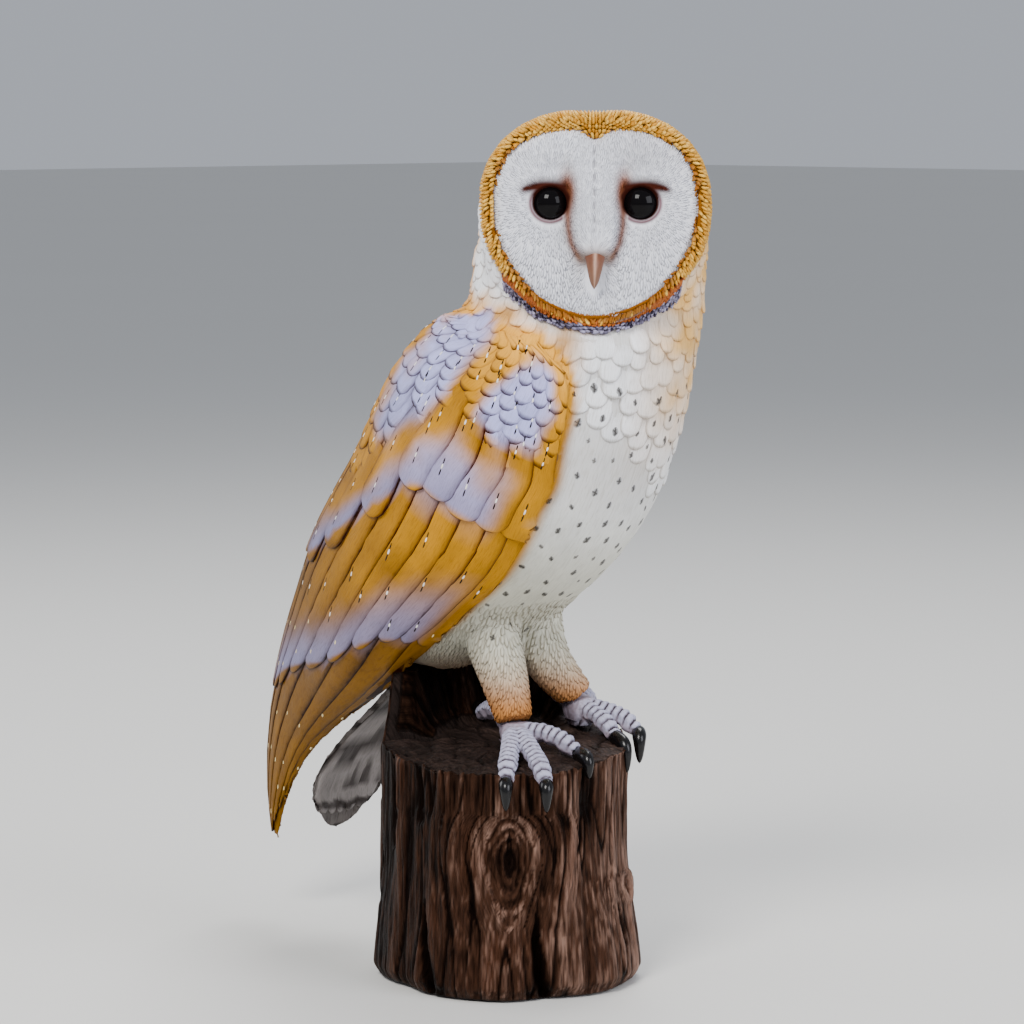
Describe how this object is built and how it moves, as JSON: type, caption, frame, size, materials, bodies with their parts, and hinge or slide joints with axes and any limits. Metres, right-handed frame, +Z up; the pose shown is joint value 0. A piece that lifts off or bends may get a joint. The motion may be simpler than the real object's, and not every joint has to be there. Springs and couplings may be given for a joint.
{
  "type": "barn owl statue",
  "caption": "Life-size painted cast-resin barn owl statue, perched on a moulded tree stump with its head turned over its right shoulder.",
  "frame": {"origin": "middle of the stump's flat underside, on the surface it rests on", "axes": "+Z up; -Y is the way the owl's breast faces, so the owl's right wing is on the -X side and its tail is towards +Y"},
  "size_m": [0.1313, 0.2631, 0.3666],
  "materials": {
    "breast_paint": "matt off-white paint with a thin brown wash on cast resin",
    "neck_paint": "matt cream paint on cast resin",
    "wing_paint": "golden orange paint with lavender grey patches on cast resin, slight sheen",
    "tail_paint": "grey paint with dark brown bars on cast resin",
    "toe_paint": "lavender grey paint on cast resin",
    "claw_gloss": "gloss black paint",
    "eye_gloss": "high gloss black",
    "bill_paint": "satin pinkish brown paint",
    "bark_paint": "dark brown bark paint, dry-brushed lighter on the ridges, on cast resin"
  },
  "bodies": {
    "root": {"trunk": "breast_paint", "neck": "neck_paint", "head": "breast_paint", "eye_left": "eye_gloss", "eye_right": "eye_gloss", "bill": "bill_paint", "wing_left": "wing_paint", "wing_right": "wing_paint", "tail": "tail_paint", "leg_left": "neck_paint", "leg_right": "neck_paint", "foot_left": "toe_paint", "foot_right": "toe_paint", "claw_left_outer": "claw_gloss", "claw_left_middle": "claw_gloss", "claw_left_inner": "claw_gloss", "claw_left_back": "claw_gloss", "claw_right_outer": "claw_gloss", "claw_right_middle": "claw_gloss", "claw_right_inner": "claw_gloss", "claw_right_back": "claw_gloss", "stump": "bark_paint"}
  },
  "joints": []
}
